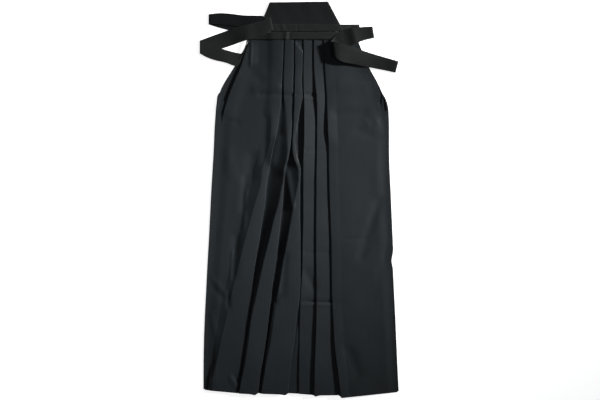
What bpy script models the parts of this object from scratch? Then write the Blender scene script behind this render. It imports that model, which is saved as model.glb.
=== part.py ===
"""Black pleated hakama trousers, laid out flat with the front up.

The waist is towards +Y, the hem towards -Y and the wearer's right towards -X. The cloth lies on
the plane z = 0. Each piece is a wall of cloth lofted through sections: a section runs across the
garment at one distance below the waist line, and follows every fold from one edge of the piece
to the other. Sizes in the tables are millimetres; the meshes are made in metres.
"""

from collections import namedtuple

import bpy
from mathutils import Vector

MM = 0.001

# Cloth and how it stacks.
WALL = 1.2            # panel cloth with its turned edges
STRAP_WALL = 1.6      # a strap is two layers sewn together
BAND_WALL = 2.0       # waistbands
GAP = 0.4             # between cloth that lies on cloth
SEAM = 0.3            # between two pieces sewn edge to edge
PITCH = WALL + GAP    # middle of one panel layer to the middle of the next
FLOOR_LAYER = WALL / 2
TURN = PITCH          # how far a fold's curve reaches back from its edge
NOSE = 0.7 * WALL     # middle of the cloth at a fold, in from the fold's outer edge

# Main sizes.
WAIST_Y = 426.0       # lower edge of the front waistband
CENTRE_X = 5.0        # centre back seam
CENTRE_LAP = 6.0      # centre front seam, hidden to the right of the middle pleat's edge
BOARD_DROP = -22.0    # lower edge of the back board, above the waist line
BACK_TOP = -21.6      # top edge of the back panels
SEAT_LENGTH = 945.0   # waist line to hem

# Back pleats: one on each leg, folded inwards under the panel so that the underside stays flat.
BACK_PLEAT_WAIST, BACK_PLEAT_HEM = 30.0, 60.0      # fold edge, from the centre back seam
BACK_DEPTH_WAIST, BACK_DEPTH_HEM = 25.0, 60.0      # depth of the pleat
LIFT_MARGIN, LIFT_SLOPE = 25.0, 45.0               # the front cloth rides up over those pleats

# How deep a front pleat's hidden layer goes, as a share of the raised strip over it, and at most.
UNDERLAY_SHARE, UNDERLAY_MOST = 0.62, 26.0
STRIP_SOFT = 2.0      # foot of a strip's rise, clear of the fold beside it
STRIP_LEVEL = 1.0     # past a fold, where the cloth is level again
STRIP_SAG = 0.45      # how far a strip has come down from its crease at its middle
LAST_DEPTH = UNDERLAY_MOST - 4.0      # hidden depth of the fold nearest the wearer's left side
VALLEY_WIDTH = 24.0   # from that fold's shoulder down to the open panel
UNDER_FOLD = 1.2      # how far a left strip reaches under the fold beside it
RISE_FOOT, RISE_WIDTH = 3.6, 4.0      # then where its rise starts, and how wide the rise is
PANEL_SHARES = (0.35, 0.72)           # places across the open part of a front panel

# The wearer's right front, by distance below the waist line. side: edge of the front panel.
# crease_n: where strip n rises; fold_n: its fold edge, facing the centre; rise_n: height of the
# crease over the layer below; soft: how wide the rise is.
RightFront = namedtuple(
    "RightFront",
    "drop side crease_1 fold_1 crease_2 fold_2 crease_3 fold_3 rise_1 rise_2 rise_3 soft",
)
RIGHT_FRONT = [
    RightFront(-16, -129, -66, -42, -30, -15, -6, 9.5, 3.2, 3.2, 3.2, 22),
    RightFront(0, -133, -66, -42, -30, -15, -6, 9.5, 3.2, 3.2, 3.2, 22),
    RightFront(35, -144, -66, -43, -31, -15, -6, 9.5, 3.2, 3.2, 3.2, 22),
    RightFront(70, -155.5, -67, -44, -32, -15, -6, 9, 3.2, 3.2, 3.2, 22),
    RightFront(110, -172.5, -68, -46, -33, -16, -8, 7, 3.3, 3.3, 3.3, 20),
    RightFront(150, -188.5, -71, -48, -34, -16.5, -10, 9, 3.6, 3.5, 3.4, 17),
    RightFront(165, -193, -72, -49, -34.5, -17, -11, 6, 3.8, 3.6, 3.5, 16),
    RightFront(180, -197.5, -73, -50, -35, -17.5, -12, 4, 4.0, 3.7, 3.6, 14),
    RightFront(195, -202, -74, -51, -36, -18, -12.5, 1, 4.2, 3.8, 3.7, 12),
    RightFront(240, -209, -75, -58, -38, -20, -15, -5.5, 4.8, 4.0, 4.0, 9),
    RightFront(290, -212, -84, -71, -40, -25, -16, -7.5, 5.5, 4.6, 4.5, 5),
    RightFront(350, -216, -94, -80, -46, -33, -9, 3, 6.4, 5.6, 5.2, 3),
    RightFront(400, -220, -107, -86, -53, -40, -9, 2, 7.2, 6.5, 6.0, 3),
    RightFront(470, -225.5, -127, -96, -65, -48, -19, 1, 8.0, 7.4, 7.0, 3),
    RightFront(540, -232, -147, -107, -82, -55, -32, 3.5, 8.5, 8.0, 7.6, 3),
    RightFront(610, -237.5, -165, -119, -99, -65, -46, 3.5, 9.0, 8.4, 8.0, 3),
    RightFront(680, -242.5, -182, -128, -115, -73, -57, 1.5, 9.0, 8.4, 8.0, 3),
    RightFront(740, -246.5, -195, -135, -127, -81, -67, -6, 9.0, 8.4, 8.0, 3),
    RightFront(810, -250, -211, -146, -136.5, -90, -78, -14, 8.6, 8.0, 7.6, 3),
    RightFront(880, -251.5, -226, -157, -150, -101, -91, -23.5, 8.0, 7.2, 7.0, 3),
    RightFront(SEAT_LENGTH, -252, -236, -162.5, -157, -109, -100.5, -29, 7.0, 6.2, 6.0, 3),
]

# The wearer's left front: fold_3 is the middle pleat, and all its folds face the wearer's right.
# lift is how far each strip stands above a pressed stack.
LeftFront = namedtuple("LeftFront", "drop side fold_5 fold_4 fold_3 lift")
LEFT_FRONT = [
    LeftFront(-16, 152, 65, 38.5, 11, 0.0),
    LeftFront(0, 154.5, 65, 38.5, 11, 0.0),
    LeftFront(35, 169, 66, 38.5, 11.5, 0.0),
    LeftFront(70, 181, 67.5, 39, 10.5, 0.1),
    LeftFront(110, 194.5, 70.5, 41.5, 10.5, 0.3),
    LeftFront(150, 210, 73, 45.5, 12, 0.6),
    LeftFront(165, 215.5, 73.5, 46.5, 12.5, 0.6),
    LeftFront(180, 221, 74, 47, 12.5, 0.6),
    LeftFront(195, 226.5, 74.5, 47.5, 12.5, 0.6),
    LeftFront(240, 232, 76.5, 47, 12.5, 0.8),
    LeftFront(290, 233, 78, 46.5, 12.5, 0.8),
    LeftFront(350, 234, 78.5, 45.5, 10, 0.8),
    LeftFront(400, 235.5, 80, 45, 10, 1.0),
    LeftFront(470, 239, 82.5, 44.5, 10, 1.2),
    LeftFront(540, 242.5, 85, 44, 9, 1.5),
    LeftFront(610, 246, 86, 44.5, 7.5, 1.5),
    LeftFront(680, 250, 87, 45.5, 3.7, 1.0),
    LeftFront(740, 253, 90, 45, 1.3, 1.5),
    LeftFront(810, 256.5, 93.5, 43, 0, 1.8),
    LeftFront(880, 259.5, 102, 40.5, -1, 2.0),
    LeftFront(SEAT_LENGTH, 262.5, 110.5, 39.5, -1.5, 2.0),
]

# Outer edges of the two back panels. turn is how far the side has turned over into a fold that
# laps onto the front: from 0, the flat edge of the slit, to 4, the folded side below the slit.
BackSide = namedtuple("BackSide", "drop right left turn")
BACK_SIDE = [
    BackSide(BACK_TOP, -133, 156, 0),
    BackSide(0, -136, 158, 0),
    BackSide(35, -154, 171, 0),
    BackSide(70, -173, 185.5, 0),
    BackSide(110, -198, 207.5, 0),
    BackSide(134, -212, 220, 0),
    BackSide(152, -222, 231, 1),
    BackSide(165, -222, 235.5, 2),
    BackSide(180, -223, 238.5, 3),
    BackSide(195, -224, 239.8, 4),
    BackSide(240, -227, 241, 4),
    BackSide(290, -229, 241, 4),
    BackSide(350, -232.5, 242.5, 4),
    BackSide(400, -235.5, 245, 4),
    BackSide(470, -239, 248, 4),
    BackSide(540, -242.5, 251, 4),
    BackSide(610, -246.5, 251, 4),
    BackSide(680, -250, 254.5, 4),
    BackSide(740, -253, 257.5, 4),
    BackSide(810, -255.5, 260.5, 4),
    BackSide(880, -256.5, 263.5, 4),
    BackSide(SEAT_LENGTH, -256.5, 266.5, 4),
]
FREE_EDGE, CURLED, TURNING, LAPPING = range(4)
HALF_LAP = 0.6        # share of its lap that the side has at LAPPING; below, it laps in full

# How the side lies before it laps, from its free edge inwards: a step in from the outer edge and a
# height over the floor layer.
EdgeStep = namedtuple("EdgeStep", "inward height")
EDGE_STEPS = {
    FREE_EDGE: [EdgeStep(0, 0), EdgeStep(1.5, 0), EdgeStep(3.0, 0), EdgeStep(4.5, 0)],
    CURLED: [EdgeStep(0.6, 3.2), EdgeStep(0.9, 1.8), EdgeStep(2.4, 0.6), EdgeStep(5.0, 0)],
    TURNING: [EdgeStep(6.0, 3.4), EdgeStep(2.8, 3.1), EdgeStep(NOSE, 1.6), EdgeStep(3.2, 0)],
}
BACK_SHARES = (0.2, 0.6)              # places across the open part of a back panel
PLEAT_OVERLAP, PLEAT_SLOPE = 2.0, 18.0    # a back pleat's upper layer, past its fold and then down

# The hem hangs a little uneven: its distance below the waist line at each x.
HemPoint = namedtuple("HemPoint", "x drop")
HEM = [
    HemPoint(-256, 935),
    HemPoint(-180, 942),
    HemPoint(-115, 947),
    HemPoint(-100, 945),
    HemPoint(-33, 947),
    HemPoint(0, 946),
    HemPoint(42, 950),
    HemPoint(106, 950),
    HemPoint(113, 955),
    HemPoint(266, 941),
]
BACK_HEM_SHORT = 2.0  # the back hem lies just behind the front one

# The front waistband follows the stack of pleats under it.
BandSection = namedtuple("BandSection", "x z")
FRONT_BAND = [
    BandSection(-132, 4.3),
    BandSection(-118, 4.7),
    BandSection(-93, 6.2),
    BandSection(-69, 10.8),
    BandSection(-30, 11.0),
    BandSection(30, 11.0),
    BandSection(92, 10.8),
    BandSection(116, 6.4),
    BandSection(136, 4.8),
    BandSection(155.5, 4.4),
]
BAND_TOP_DROP, BAND_LOW_DROP = -21.0, -1.3

# The back board and the band sewn across its base, as outlines (x, y).
Corner = namedtuple("Corner", "x y")
BOARD_HEIGHT, BOARD_EDGE = 4.0, 1.0
BOARD = [
    Corner(-112, WAIST_Y - BOARD_DROP),
    Corner(120, WAIST_Y - BOARD_DROP),
    Corner(77, 529),
    Corner(-79, 527),
]
BAND_EDGE = 0.5
BACK_BAND = [Corner(-84, 448.6), Corner(118, 448.6), Corner(108, 469), Corner(-84, 469)]

# Straps: each row is one section of the strap, from its root. upper is the edge nearer the
# waist's top when the strap leaves the waist, lower the other edge.
Strap = namedtuple("Strap", "upper_x upper_y upper_z lower_x lower_y lower_z")

# The wearer's right front strap: bunched and half on edge as it leaves the waistband, it lies down
# to the side, folds back under itself and crosses the board's corner to a last fold.
FRONT_STRAP_RIGHT = [
    Strap(-132.4, 446.0, 4.3, -132.4, 428.0, 4.3),
    Strap(-137.5, 440.0, 6.0, -136.0, 424.0, 4.4),
    Strap(-141.0, 421.0, 7.4, -138.5, 411.0, 4.6),
    Strap(-142.5, 412.0, 12.0, -140.0, 401.0, 4.6),
    Strap(-145.0, 399.0, 15.0, -142.0, 385.0, 4.4),
    Strap(-149.5, 391.0, 14.0, -145.5, 370.0, 4.4),
    Strap(-154.5, 389.0, 10.5, -150.0, 360.5, 4.4),
    Strap(-161.0, 390.5, 7.0, -158.0, 356.0, 4.2),
    Strap(-174.0, 394.0, 4.6, -171.0, 357.0, 3.8),
    Strap(-201.0, 401.0, 3.4, -196.0, 365.0, 3.2),
    Strap(-232.0, 412.0, 2.8, -229.0, 373.0, 2.8),
    Strap(-252.0, 420.5, 2.8, -250.0, 381.0, 2.8),
    Strap(-264.4, 425.0, 2.8, -264.4, 389.0, 2.8),
    Strap(-265.3, 425.4, 1.8, -265.3, 389.2, 1.8),
    Strap(-264.4, 425.4, 0.8, -264.4, 389.2, 0.8),
    Strap(-248.0, 431.5, 0.8, -246.0, 393.0, 0.8),
    Strap(-215.0, 443.5, 0.8, -208.0, 403.0, 0.8),
    Strap(-190.0, 452.0, 3.0, -180.0, 411.5, 2.4),
    Strap(-165.0, 459.5, 6.8, -155.0, 420.5, 7.4),
    Strap(-141.0, 466.0, 9.4, -138.0, 425.5, 11.0),
    Strap(-118.0, 471.5, 9.4, -112.0, 433.0, 11.4),
    Strap(-95.0, 478.5, 9.4, -88.0, 441.5, 12.4),
    Strap(-84.5, 484.0, 9.6, -77.5, 448.5, 12.4),
    Strap(-77.4, 487.0, 9.6, -70.4, 451.0, 12.0),
    Strap(-76.5, 487.0, 8.6, -69.5, 451.0, 11.0),
    Strap(-77.4, 486.5, 7.6, -70.4, 451.0, 10.0),
    Strap(-90.0, 481.0, 7.4, -85.0, 449.5, 9.8),
]

# The wearer's right back strap: out to the side, then folded back under itself.
BACK_STRAP_RIGHT = [
    Strap(-84.4, 468.5, 5.3, -84.4, 449.2, 5.3),
    Strap(-92.5, 488.0, 5.3, -102.0, 453.0, 5.3),
    Strap(-118.0, 491.0, 5.0, -124.0, 457.0, 5.0),
    Strap(-140.0, 491.5, 4.0, -142.0, 459.5, 4.0),
    Strap(-158.0, 493.0, 3.0, -159.0, 461.5, 3.0),
    Strap(-180.0, 496.0, 2.8, -180.0, 464.5, 2.8),
    Strap(-212.0, 498.0, 2.8, -212.0, 467.5, 2.8),
    Strap(-240.6, 495.2, 2.8, -240.6, 468.0, 2.8),
    Strap(-241.5, 495.2, 1.8, -241.5, 468.0, 1.8),
    Strap(-240.6, 495.0, 0.8, -240.6, 467.5, 0.8),
    Strap(-215.0, 487.0, 0.8, -216.0, 459.5, 0.8),
    Strap(-186.0, 479.0, 0.8, -190.0, 452.5, 0.8),
    Strap(-165.0, 473.0, 0.8, -169.0, 446.5, 0.8),
    Strap(-136.0, 465.0, 0.8, -140.0, 438.5, 0.8),
]

# The wearer's left front strap: out to the side, folded back over itself in a low arch, then turned
# over in a loose loop that lies down across the hip and past it, where its end folds under.
FRONT_STRAP_LEFT = [
    Strap(155.9, 446.0, 4.4, 155.9, 428.0, 4.4),
    Strap(166.0, 452.5, 2.6, 164.0, 425.0, 3.4),
    Strap(179.0, 458.0, 1.0, 177.0, 427.0, 1.0),
    Strap(194.4, 461.5, 0.8, 199.0, 431.5, 0.8),
    Strap(195.4, 461.8, 1.8, 200.0, 431.8, 1.8),
    Strap(194.4, 461.8, 2.8, 199.0, 431.5, 2.8),
    Strap(182.0, 461.5, 3.8, 187.0, 429.0, 3.8),
    Strap(169.0, 460.5, 5.2, 176.0, 426.0, 5.0),
    Strap(158.0, 459.5, 7.0, 166.0, 422.5, 6.8),
    Strap(149.0, 458.5, 9.4, 158.0, 419.5, 9.2),
    Strap(142.5, 457.5, 11.2, 152.0, 417.0, 11.0),
    Strap(136.0, 456.5, 10.8, 146.0, 414.0, 10.6),
    Strap(129.0, 455.0, 9.4, 139.5, 410.0, 9.2),
    Strap(119.0, 452.5, 9.6, 131.0, 405.0, 8.8),
    Strap(106.0, 447.0, 12.2, 120.0, 397.0, 10.0),
    Strap(95.5, 436.5, 14.0, 107.5, 388.5, 11.6),
    Strap(88.5, 425.5, 16.0, 96.5, 383.0, 13.0),
    Strap(84.0, 420.0, 19.5, 88.0, 382.0, 17.0),
    Strap(88.5, 420.5, 24.0, 96.0, 377.5, 21.6),
    Strap(101.0, 417.0, 24.8, 107.0, 370.0, 20.6),
    Strap(118.0, 412.0, 22.0, 121.0, 364.5, 17.0),
    Strap(140.0, 407.5, 17.0, 142.0, 361.5, 12.0),
    Strap(161.0, 400.0, 11.4, 166.0, 356.5, 8.4),
    Strap(193.0, 390.0, 5.6, 198.0, 350.5, 4.6),
    Strap(228.0, 380.0, 2.9, 230.0, 344.5, 2.9),
    Strap(263.8, 369.5, 2.8, 256.0, 338.8, 2.8),
    Strap(264.7, 369.2, 1.8, 256.9, 338.6, 1.8),
    Strap(263.8, 369.5, 0.8, 256.0, 338.8, 0.8),
    Strap(242.0, 375.0, 0.8, 237.0, 344.5, 0.8),
    Strap(214.0, 383.0, 0.8, 210.5, 349.4, 0.8),
]

# The wearer's left back strap: a short stretch shows past the board before it folds under.
BACK_STRAP_LEFT = [
    Strap(109.4, 467.2, 5.3, 118.0, 449.2, 5.3),
    Strap(124.0, 467.2, 4.2, 127.0, 449.2, 4.4),
    Strap(138.0, 467.4, 2.8, 139.0, 449.2, 2.8),
    Strap(159.4, 467.4, 2.8, 159.4, 449.2, 2.8),
    Strap(160.3, 467.4, 1.8, 160.3, 449.2, 1.8),
    Strap(159.4, 467.4, 0.8, 159.4, 449.2, 0.8),
    Strap(130.0, 467.0, 0.8, 130.0, 449.2, 0.8),
]

COLLECTION_NAME = "hakama_trousers"
CLOTH_BLACK = (0.021, 0.024, 0.026, 1.0)
BACK_BLACK = (0.019, 0.022, 0.024, 1.0)
STRAP_BLACK = (0.027, 0.028, 0.028, 1.0)
BAND_BLACK = (0.023, 0.025, 0.026, 1.0)
BOARD_BLACK = (0.020, 0.022, 0.024, 1.0)
CLOTH_ROUGHNESS = 0.72
CREASE_ANGLE = 0.6    # radians between two faces, over which their edge is a crisp crease
BEVEL_SEGMENTS = 2


def clear_scene():
    for obj in list(bpy.data.objects):
        bpy.data.objects.remove(obj, do_unlink=True)


def blend(a, b, share):
    return a + (b - a) * share


def read_along(rows, key, value, at):
    """The value column read at a place along the key column, straight between rows."""
    if at <= getattr(rows[0], key):
        return getattr(rows[0], value)
    for first, second in zip(rows, rows[1:]):
        start, end = getattr(first, key), getattr(second, key)
        if at <= end:
            share = (at - start) / (end - start)
            return blend(getattr(first, value), getattr(second, value), share)
    return getattr(rows[-1], value)


def down(drop):
    """Share of the way from the waist line to the hem."""
    return min(max(drop / SEAT_LENGTH, 0.0), 1.0)


def back_pleat(drop):
    """Fold edge and depth of a back pleat, measured out from the centre back seam."""
    share = down(drop)
    edge = blend(BACK_PLEAT_WAIST, BACK_PLEAT_HEM, share)
    return edge, blend(BACK_DEPTH_WAIST, BACK_DEPTH_HEM, share)


def front_base(x, drop):
    """Middle of the front's lowest layer: it lies on the back, over the back pleats too."""
    edge, depth = back_pleat(drop)
    full_lift = edge + depth + LIFT_MARGIN
    out = abs(x - CENTRE_X)
    share = min(max((full_lift + LIFT_SLOPE - out) / LIFT_SLOPE, 0.0), 1.0)
    return FLOOR_LAYER + PITCH + 2 * PITCH * share


def fold(edge, facing, upper, lower):
    """Three points round a fold. facing is +1 where its edge faces +X, and -1 towards -X."""
    back = edge - facing * TURN
    nose = edge - facing * NOSE
    return [(back, upper), (nose, (upper + lower) / 2), (back, lower)]


def underlay(raised_width):
    return min(UNDERLAY_SHARE * raised_width, UNDERLAY_MOST)


def right_strip(row, crease, edge, rise, start):
    """One raised strip of the right front: foot, crease, plateau, fold edge and hidden layers.

    start is the nearest x that the foot may come to. The last point lies at the lowest level.
    """
    drop = row.drop
    foot = max(crease - row.soft, start)
    base = front_base(edge, drop)
    depth = underlay(edge - crease)
    middle = (crease + edge) / 2
    points = [
        (foot, front_base(foot, drop)),
        (crease, front_base(crease, drop) + rise),
        (middle, front_base(middle, drop) + blend(rise, 2 * PITCH, STRIP_SAG)),
    ]
    points += fold(edge, 1, base + 2 * PITCH, base + PITCH)
    inner = front_base(edge - depth, drop)
    points += fold(edge - depth, -1, inner + PITCH, inner)
    return points


def right_front_section(row):
    """The wearer's right front, from its side edge to the centre front seam."""
    drop = row.drop
    first_foot = row.crease_1 - row.soft
    points = [(row.side, FLOOR_LAYER + PITCH)]
    for share in PANEL_SHARES:
        x = blend(row.side, first_foot, share)
        points.append((x, front_base(x, drop)))
    points += right_strip(row, row.crease_1, row.fold_1, row.rise_1, first_foot)
    points.append((row.fold_1 + STRIP_LEVEL, front_base(row.fold_1 + STRIP_LEVEL, drop)))
    start = row.fold_1 + STRIP_SOFT
    points += right_strip(row, row.crease_2, row.fold_2, row.rise_2, start)
    points.append((row.fold_2 + STRIP_LEVEL, front_base(row.fold_2 + STRIP_LEVEL, drop)))
    start = row.fold_2 + STRIP_SOFT
    points += right_strip(row, row.crease_3, row.fold_3, row.rise_3, start)
    seam = read_along(LEFT_FRONT, "drop", "fold_3", drop) + CENTRE_LAP
    points.append(((row.fold_3 + seam) / 2, front_base(row.fold_3, drop)))
    points.append((seam - SEAM / 2, front_base(seam, drop)))
    return points


def left_strip(outer, edge, lift, drop):
    """One strip of the left front, out from under the fold at outer, to its own fold and back."""
    foot = outer - RISE_FOOT
    top = foot - RISE_WIDTH
    base = front_base(edge, drop)
    depth = underlay(top - edge)
    points = [
        (outer - UNDER_FOLD, front_base(outer, drop)),
        (foot, front_base(foot, drop)),
        (top, front_base(top, drop) + 2 * PITCH + lift),
    ]
    points += fold(edge, -1, base + 2 * PITCH, base + PITCH)
    inner = front_base(edge + depth, drop)
    points += fold(edge + depth, 1, inner + PITCH, inner)
    return points


def left_front_section(row):
    """The wearer's left front, from its side edge to the centre front seam."""
    drop = row.drop
    shoulder = row.fold_5 + UNDERLAY_MOST
    valley = shoulder + VALLEY_WIDTH
    points = [(row.side, FLOOR_LAYER + PITCH)]
    for share in PANEL_SHARES:
        x = blend(row.side, valley, share)
        points.append((x, front_base(x, drop)))
    points.append((valley, front_base(valley, drop)))
    points.append((shoulder, front_base(shoulder, drop) + 2 * PITCH + row.lift))
    base = front_base(row.fold_5, drop)
    points += fold(row.fold_5, -1, base + 2 * PITCH, base + PITCH)
    inner = front_base(row.fold_5 + LAST_DEPTH, drop)
    points += fold(row.fold_5 + LAST_DEPTH, 1, inner + PITCH, inner)
    points += left_strip(row.fold_5, row.fold_4, row.lift, drop)
    points += left_strip(row.fold_4, row.fold_3, row.lift, drop)
    seam = row.fold_3 + CENTRE_LAP
    points.append((seam + SEAM / 2, front_base(seam, drop)))
    return points


def side_points(outer, lap, turn):
    """The outer part of a back panel, as (distance out from the centre, z), from its edge inwards."""
    low, high = FLOOR_LAYER, FLOOR_LAYER + PITCH
    if turn in EDGE_STEPS:
        return [(outer - step.inward, low + step.height) for step in EDGE_STEPS[turn]]
    return [(outer - lap, high)] + fold(outer, 1, high, low)


def back_section(row, outer, lap):
    """A back panel, from its side to the centre back seam, as (distance from centre, z)."""
    low = FLOOR_LAYER
    edge, depth = back_pleat(row.drop)
    points = side_points(outer, lap, row.turn)
    for share in BACK_SHARES:
        points.append((blend(outer, edge + depth, share), low))
    points += reversed(fold(edge, -1, low + PITCH, low))
    points += reversed(fold(edge + depth, 1, low + 2 * PITCH, low + PITCH))
    points.append((edge - PLEAT_OVERLAP, low + 2 * PITCH))
    points.append((edge - PLEAT_SLOPE, low))
    points.append((SEAM / 2, low))
    return points


def hem_drop(x):
    return read_along(HEM, "x", "drop", x)


def cloth_rows(rows, section, shorten=0.0):
    """Sections turned into points in space; the last one follows the uneven hem."""
    placed = []
    for row in rows:
        last = row is rows[-1]
        points = []
        for x, z in section(row):
            drop = hem_drop(x) - shorten if last else row.drop
            points.append((x, WAIST_Y - drop, z))
        placed.append(points)
    return placed


def cloth_material(name, colour):
    material = bpy.data.materials.new(name)
    material.use_nodes = True
    shader = material.node_tree.nodes["Principled BSDF"]
    shader.inputs["Base Color"].default_value = colour
    shader.inputs["Roughness"].default_value = CLOTH_ROUGHNESS
    shader.inputs["Metallic"].default_value = 0.0
    return material


def add_object(name, points, faces, colour):
    mesh = bpy.data.meshes.new(name)
    mesh.from_pydata([Vector(p) * MM for p in points], [], faces)
    mesh.materials.append(cloth_material(name + "_cloth", colour))
    obj = bpy.data.objects.new(name, mesh)
    bpy.data.collections[COLLECTION_NAME].objects.link(obj)
    return obj


def thicken(obj, wall, offset=0.0):
    solid = obj.modifiers.new("Wall", "SOLIDIFY")
    solid.thickness = wall * MM
    solid.offset = offset
    solid.use_even_offset = True


def make_sheet(name, rows, wall, colour):
    """A wall of cloth through rows of points, thickened evenly to both sides."""
    across = len(rows[0])
    points = [point for row in rows for point in row]
    faces = []
    for i in range(len(rows) - 1):
        for j in range(across - 1):
            first = i * across + j
            faces.append((first, first + 1, first + across + 1, first + across))
    obj = add_object(name, points, faces, colour)
    obj.data.shade_smooth()
    obj.data.set_sharp_from_angle(angle=CREASE_ANGLE)
    thicken(obj, wall)


def make_slab(name, outline, base, height, edge, colour):
    """A flat piece of one outline with softened edges."""
    points = [(corner.x, corner.y, base) for corner in outline]
    obj = add_object(name, points, [tuple(range(len(points)))], colour)
    thicken(obj, height, offset=1.0)
    bevel = obj.modifiers.new("Soft edges", "BEVEL")
    bevel.width = edge * MM
    bevel.segments = BEVEL_SEGMENTS


def make_strap(name, rows):
    points = [
        [(r.upper_x, r.upper_y, r.upper_z), (r.lower_x, r.lower_y, r.lower_z)] for r in rows
    ]
    make_sheet(name, points, STRAP_WALL, STRAP_BLACK)


def make_fronts():
    make_sheet("front_leg_right", cloth_rows(RIGHT_FRONT, right_front_section), WALL, CLOTH_BLACK)
    make_sheet("front_leg_left", cloth_rows(LEFT_FRONT, left_front_section), WALL, CLOTH_BLACK)


def make_back(name, column, side, fronts):
    """One back panel. side is -1 for the wearer's right and +1 for the left."""
    def section(row):
        outer = side * (getattr(row, column) - CENTRE_X)
        front_edge = side * (read_along(fronts, "drop", "side", row.drop) - CENTRE_X)
        reach = outer - front_edge - SEAM
        lap = HALF_LAP * reach if row.turn == LAPPING else reach
        return [(CENTRE_X + side * out, z) for out, z in back_section(row, outer, lap)]

    rows = cloth_rows(BACK_SIDE, section, BACK_HEM_SHORT)
    make_sheet(name, rows, WALL, BACK_BLACK)


def make_front_band():
    edges = (WAIST_Y - BAND_TOP_DROP, WAIST_Y - BAND_LOW_DROP)
    rows = [[(section.x, y, section.z) for y in edges] for section in FRONT_BAND]
    make_sheet("front_waistband", rows, BAND_WALL, BAND_BLACK)


def main():
    clear_scene()
    collection = bpy.data.collections.new(COLLECTION_NAME)
    bpy.context.scene.collection.children.link(collection)
    make_fronts()
    make_back("back_leg_right", "right", -1, RIGHT_FRONT)
    make_back("back_leg_left", "left", 1, LEFT_FRONT)
    make_front_band()
    make_slab("back_board", BOARD, 0.0, BOARD_HEIGHT, BOARD_EDGE, BOARD_BLACK)
    make_slab("back_band", BACK_BAND, BOARD_HEIGHT + SEAM, BAND_WALL, BAND_EDGE, BAND_BLACK)
    make_strap("front_strap_right", FRONT_STRAP_RIGHT)
    make_strap("front_strap_left", FRONT_STRAP_LEFT)
    make_strap("back_strap_right", BACK_STRAP_RIGHT)
    make_strap("back_strap_left", BACK_STRAP_LEFT)


main()
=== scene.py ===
"""Black pleated hakama trousers laid flat with the front up: cloth, stitching, light and camera.

The tables are in millimetres and the meshes in metres. drop is the distance below the waist
line, x runs across the garment and the wearer's right is towards -X. A panel is a grid: a row
for each drop, and a column for each place across the cloth, folds and hidden layers included.
"""
import math
from collections import namedtuple

import bpy
import numpy as np
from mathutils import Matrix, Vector


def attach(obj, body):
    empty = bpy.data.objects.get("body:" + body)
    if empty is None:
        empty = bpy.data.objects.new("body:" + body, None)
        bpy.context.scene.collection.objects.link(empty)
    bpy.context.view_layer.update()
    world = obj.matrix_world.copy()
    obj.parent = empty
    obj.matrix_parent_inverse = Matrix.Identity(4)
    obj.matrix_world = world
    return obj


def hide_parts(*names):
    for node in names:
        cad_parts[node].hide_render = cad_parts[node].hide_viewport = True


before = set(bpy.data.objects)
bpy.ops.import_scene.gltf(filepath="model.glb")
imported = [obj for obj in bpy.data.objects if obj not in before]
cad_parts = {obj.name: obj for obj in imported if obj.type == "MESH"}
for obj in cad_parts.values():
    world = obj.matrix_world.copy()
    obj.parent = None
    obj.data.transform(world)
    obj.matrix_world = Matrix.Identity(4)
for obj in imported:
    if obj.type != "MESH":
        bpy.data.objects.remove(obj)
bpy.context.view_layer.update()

MM = 0.001

# Cloth and how it stacks. A pitch is the step from one layer's middle to the next one's.
WALL = 0.7
BACK_WALL = 0.9
STRAP_WALL = 1.5
BAND_WALL = 2.0
PITCH = 1.0
BACK_PITCH = 1.6
SEAM = 0.3
FLOOR_LAYER = BACK_WALL / 2
FRONT_LEVEL = 2.2     # the front's lowest layer, at its sides
TURN, NOSE = 1.0, 0.5             # a front fold: how far in it starts to turn, and its middle's setback
BACK_TURN, BACK_NOSE = 1.6, 0.8

# Main sizes.
WAIST_Y = 426.0
CENTRE_X = 5.0
CENTRE_LAP = 6.0
SEAT_LENGTH = 945.0
BACK_TOP = -21.6
FRONT_TOP = -16.0
BACK_PLEAT_WAIST, BACK_PLEAT_HEM = 30.0, 60.0
BACK_DEPTH_WAIST, BACK_DEPTH_HEM = 25.0, 60.0
LIFT_MARGIN = 8.0
UNDERLAY_SHARE, UNDERLAY_MOST = 0.62, 26.0
STRIP_SOFT = 2.0
ROW_STEP = 5.0        # from one row of points to the next, down a panel

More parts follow.
